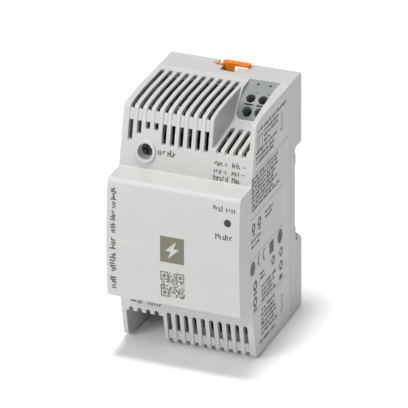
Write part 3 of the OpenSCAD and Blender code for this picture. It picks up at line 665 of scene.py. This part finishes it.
def print_side(ink):
    marks = Print("side_print", on_right_side, ink)
    for z, start in ((71.2, -16), (55.2, -22), (40.0, -22.4), (18.9, -19)):
        marks.bar(start, z - 0.08, start + 35.2, z + 0.08)
    draw = random.Random(5)

    def block(top, count, pitch, start, length, ragged, height):
        for i in range(count):
            end = start + length * (1 - ragged * draw.random())
            marks.words(start, end, top - i * pitch, height, draw.randint(0, 999), weight=0.32)

    # each row: top, lines, pitch, start, length, raggedness, height of the marks
    block(85.0, 1, 1.7, -14, 32, 0.05, 1.4)
    block(83.0, 2, 1.8, -7.6, 17, 0.15, 1.4)
    block(79.3, 1, 1.8, -7.6, 8, 0.1, 1.4)
    block(77.3, 3, 1.9, -16, 23, 0.15, 1.4)
    block(69.0, 8, 1.62, -20.5, 31, 0.25, 1.35)
    block(51.6, 2, 1.8, -6.4, 9, 0.3, 1.3)
    block(46.0, 2, 2.1, -21, 12, 0.2, 1.4)
    block(30.3, 2, 1.8, -11.7, 7, 0.15, 1.3)
    block(25.0, 4, 1.8, -10.4, 16, 0.15, 1.4)
    block(16.2, 6, 1.8, -10.4, 17, 0.15, 1.4)
    block(4.6, 1, 1.7, -12, 17, 0.1, 1.3)
    # plain discs, squares, rings and crescents in place of marks
    for y, z in ((9.7, 36.5), (-19.5, 36.3)):
        marks.ring(y, z, 2.6, 0)
    marks.bar(-1.6, 34.0, 2.8, 38.6)
    for y in (-11.4, -6.2):
        marks.ring(y, 36.9, 2.6, 1.7, 110, 250)
    for y, z in ((10.8, 30.2), (2.3, 30.6), (10.8, 25.0)):
        marks.ring(y, z, 1.8, 0.9)
    marks.bar(9.0, 19.8, 12.2, 21.6)
    for z in (28.8, 22.8):
        marks.ring(-16.8, z, 2.0, 0.9)
        marks.bar(-18.6, z - 3.4, -15.0, z - 2.4)
    for y in (-19.6, -13.4):
        marks.ring(y + 1, 51.4, 1.8, 0.8)
        marks.bar(y, 48.4, y + 2.4, 49.2)
    # small framed square near the front edge
    for z in (78.4, 83.6):
        marks.bar(-14.4, z - 0.2, -9.2, z + 0.2)
    for y in (-14.4, -12.6, -9.6):
        marks.bar(y, 78.6, y + 0.4, 83.4)
    marks.done()


# ---------- the whole ----------
def dress_housing():
    shell_texture = {"grain": 0.2, "depth": 0.01, "mottle": 0.012}
    shell = moulded("housing_plastic", srgb(189, 189, 187), roughness=0.46, **shell_texture)
    # painted shade: the base takes a darker copy of the housing plastic, standing in for the duller light on
    # its roof and sides
    inner = moulded("base_plastic", srgb(184, 185, 183), roughness=0.48, **shell_texture)
    grey_texture = {"grain": 0.18, "depth": 0.008, "mottle": 0.02}
    grey = moulded("terminal_plastic", srgb(132, 136, 135), roughness=0.42, **grey_texture)
    orange = moulded("latch_plastic", srgb(226, 118, 4), roughness=0.36, grain=0.16, depth=0.006, mottle=0.02)
    paint("front_cover", shell)
    paint("rear_base", inner)
    paint("rail_latch", orange)
    paint("output_terminal_housing", grey)
    paint("input_terminal_housing", grey)
    mark_exposed(("front_cover", "rear_base"))
    soften("front_cover", 0.22, exposed_only=True)
    soften("rear_base", 0.3, exposed_only=True)
    soften("rail_latch", 0.14)
    smooth(nodes["output_terminal_housing"])
    smooth(nodes["input_terminal_housing"])


def dress_inside():
    steel = metal("spring_steel", srgb(176, 178, 182), 0.3)
    tin = metal("tinned_leads", srgb(200, 202, 204), 0.32, "y")
    copper = metal("contact_copper", srgb(214, 190, 160), 0.28)
    aluminium = metal("can_aluminium", srgb(196, 198, 202), 0.36, "z")
    anodised = metal("black_anodised_sheet", srgb(40, 41, 44), 0.42, "z")
    black = moulded("component_epoxy", srgb(34, 35, 38), roughness=0.5, grain=0.12, depth=0.006, mottle=0.08)
    wire = enamelled_wire("enamelled_wire", srgb(196, 110, 60))
    bobbin = moulded("bobbin_plastic", srgb(30, 30, 31), roughness=0.45, grain=0.15, depth=0.006, mottle=0.06)
    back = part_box("circuit_board")[0].y
    for name in ("latch_spring", "output_clamp_springs", "input_clamp_springs", "fuse_holder"):
        paint(name, steel)
    make_spring(steel)
    for contact in ("output_positive", "output_negative", "input_live", "input_neutral"):
        paint(contact + "_contact", copper)
    paint("heat_sink_screws", steel)
    paint("heat_sink_nuts", steel)
    paint("primary_heat_sink", anodised)
    paint("secondary_heat_sink", anodised)
    # painted shade in part: the board's green is darker than a usual solder mask, standing in for the dark
    # inside seen through the vents
    paint("circuit_board", solder_mask("solder_mask", srgb(12, 52, 34)))
    paint("transformer_core", ferrite("transformer_ferrite", srgb(56, 56, 60)))
    paint("transformer_winding", winding_tape("winding_tape", srgb(222, 184, 48)))
    paint("choke_core", ferrite("choke_ferrite", srgb(66, 58, 52)))
    paint("output_inductor_core", dipped("inductor_coating", srgb(206, 196, 84)))
    for name in ("choke_windings", "output_inductor_winding"):
        paint(name, wire)
    paint("choke_divider", bobbin)
    paint("controller_chip", black, tin, choose=outside_body("controller_chip", 1.05))
    paint("optocouplers", black, tin, choose=outside_body("optocouplers", 0.75))
    paint("transformer_bobbin", bobbin, tin, choose=leads_at(back, 0.3))
    paint("suppression_capacitor", dipped("film_box", srgb(224, 184, 52)), tin, choose=leads_at(back, 0.2))
    paint("safety_capacitors", dipped("disc_coating", srgb(46, 108, 184)), tin, choose=leads_at(back, 0.2))
    paint("varistor", dipped("varistor_coating", srgb(56, 94, 178)), tin, choose=leads_at(back, 1.2))
    thermistor = dipped("thermistor_coating", srgb(30, 62, 38))
    paint("inrush_thermistor", thermistor, tin, choose=leads_at(back, 1.2))
    paint("bridge_rectifier", black, tin, choose=leads_at(back, 3.9))
    paint("chip_components", dipped("chip_ceramic", srgb(104, 88, 68)))
    cooled = {"switching_transistor": "primary_heat_sink", "output_rectifier": "secondary_heat_sink"}
    for name, sink in cooled.items():
        paint(name, black, tin, choose=tab_or_leads(back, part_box(sink)[0].x))
    # the near-black sleeves are partly the cans' own dark colour and partly painted shade for the dark inside
    # seen through the vents
    dress_cans("bulk_capacitor", 8.9, srgb(24, 27, 34), tin, aluminium)
    dress_cans("output_capacitors", 5, srgb(26, 25, 32), tin, aluminium)
    dress_adjuster(tin, back)
    dress_light()
    dress_fuse(steel)


def leads_at(back, reach):
    """Faces closer to the front of the board than reach, in mm, are leads."""
    return lambda centre: 1 if centre.y > back - reach * MM else 0


def tab_or_leads(back, face):
    """The metal tab lies against the heat sink at x = face; leads lie between the body and the board."""
    tab_x = face - 1.25 * MM
    leads_y = back - 3.95 * MM
    return lambda centre: 1 if centre.x > tab_x or centre.y > leads_y else 0


def outside_body(name, reach):
    """Faces within reach, in mm, of the left and right ends of the node are leads."""
    low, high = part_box(name)
    left, right = low.x + reach * MM, high.x - reach * MM
    return lambda centre: 1 if centre.x < left or centre.x > right else 0


def dress_cans(name, radius, colour, tin, aluminium):
    """Sleeve, solder pins and bare end of one can, or of two that stand in opposite corners of the box."""
    low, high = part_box(name)
    reach = radius * MM
    axes = [(high.x - reach, high.z - reach), (low.x + reach, low.z + reach)]
    x, z = axes[0]
    sleeve = shrink_sleeve(name + "_sleeve", colour, (x, 0, z), radius * 0.3 * MM)
    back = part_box("circuit_board")[0].y

    pins_y = back - 0.2 * MM
    end_y = low.y + 0.6 * MM
    bare_radius = (radius - 1.1) * MM

    def pick(centre):
        if centre.y > pins_y:
            return 1
        off_axis = min(math.hypot(centre.x - axis_x, centre.z - axis_z) for axis_x, axis_z in axes)
        return 2 if centre.y < end_y and off_axis < bare_radius else 0

    paint(name, sleeve, tin, aluminium, choose=pick)


def dress_adjuster(tin, back):
    texture = {"grain": 0.15, "depth": 0.005}
    # painted shade in part: the trimmer's blue is darkened to navy, standing in for the dark inside seen
    # through the vents
    body = moulded("trimmer_body", srgb(30, 42, 84), roughness=0.35, mottle=0.04, **texture)
    paint("potentiometer_body", body, tin, choose=leads_at(back, -0.05))
    rotor = moulded("trimmer_rotor", srgb(226, 226, 216), roughness=0.35, mottle=0.03, **texture)
    paint("potentiometer_rotor", rotor)
    # painted shade: the spindle's dark grey stands in for the shade inside the adjuster's collar
    spindle = moulded("spindle_plastic", srgb(58, 58, 57), roughness=0.45, mottle=0.05, **texture)
    paint("adjuster_spindle", spindle)


def dress_light():
    lens = clear_plastic("led_lens", srgb(236, 232, 170), 0.15)
    shell = moulded("led_body", srgb(222, 224, 210), roughness=0.4, grain=0.15, depth=0.004, mottle=0.02)
    low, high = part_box("status_led")
    x, z = (low.x + high.x) / 2, (low.z + high.z) / 2
    reach = 0.72 * MM
    paint("status_led", shell, lens, choose=lambda centre: math.hypot(centre.x - x, centre.z - z) < reach)
    paint("light_pipe", clear_plastic("light_pipe_plastic", srgb(96, 99, 98), 0.22))


def dress_fuse(steel):
    low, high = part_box("fuse")
    cap = 3.5 * MM
    glass = clear_plastic("fuse_glass", srgb(240, 242, 240), 0.03)
    bottom, top = low.z + cap, high.z - cap
    paint("fuse", glass, steel, choose=lambda centre: centre.z < bottom or centre.z > top)


# ---------- latch spring ----------
def make_spring(material):
    """The latch spring as a round wire with closed end turns."""
    low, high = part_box("latch_spring")
    middle = (low + high) / 2
    wire, turns, steps, sides = 0.17 * MM, 9, 32, 12
    radius = (high.x - low.x) / 2 - wire
    height = high.z - low.z - 2 * wire
    pitch = (height - 4 * wire) / (turns - 2)
    points, faces = [], []
    for ring in range(turns * steps + 1):
        turn = ring / steps
        rise = 2 * wire * (min(turn, 1) + max(0, turn - turns + 1)) + pitch * min(max(turn - 1, 0), turns - 2)
        around = math.tau * turn
        out = Vector((math.cos(around), math.sin(around), 0))
        centre = Vector((middle.x, middle.y, low.z + wire + rise)) + out * radius
        for side in range(sides):
            angle = math.tau * side / sides
            points.append(centre + (out * math.cos(angle) + Vector((0, 0, math.sin(angle)))) * wire)
        if ring:
            first = (ring - 1) * sides
            for side in range(sides):
                following = (side + 1) % sides
                face = (side, following, sides + following, sides + side)
                faces.append(tuple(first + corner for corner in face))
    faces += [tuple(range(sides))[::-1], tuple(range(len(points) - sides, len(points)))]
    mesh = bpy.data.meshes.new("latch_spring_coil")
    mesh.from_pydata(points, [], faces)
    mesh.materials.append(material)
    piece = bpy.data.objects.new("latch_spring_coil", mesh)
    scene.collection.objects.link(piece)
    smooth(piece)
    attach(piece, "housing")
    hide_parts("latch_spring")
    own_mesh(piece)


def soften_inside():
    """Narrow soft edges for all that has none yet; thin and finely bent pieces need them held back."""
    thin = ("output_clamp_springs", "input_clamp_springs", "optocouplers", "primary_heat_sink")
    for name in nodes:
        if name != "latch_spring" and not nodes[name].modifiers:
            soften(name, 0.08, 2, clamp=name in thin)


make_camera()
make_studio()
dress_housing()
dress_inside()
soften_inside()
ink = printed_ink("print_ink", srgb(84, 83, 78))
badge_ink = printed_ink("badge_ink", srgb(112, 110, 92))
print_panel(ink, badge_ink)
print_slants(ink)
print_side(ink)
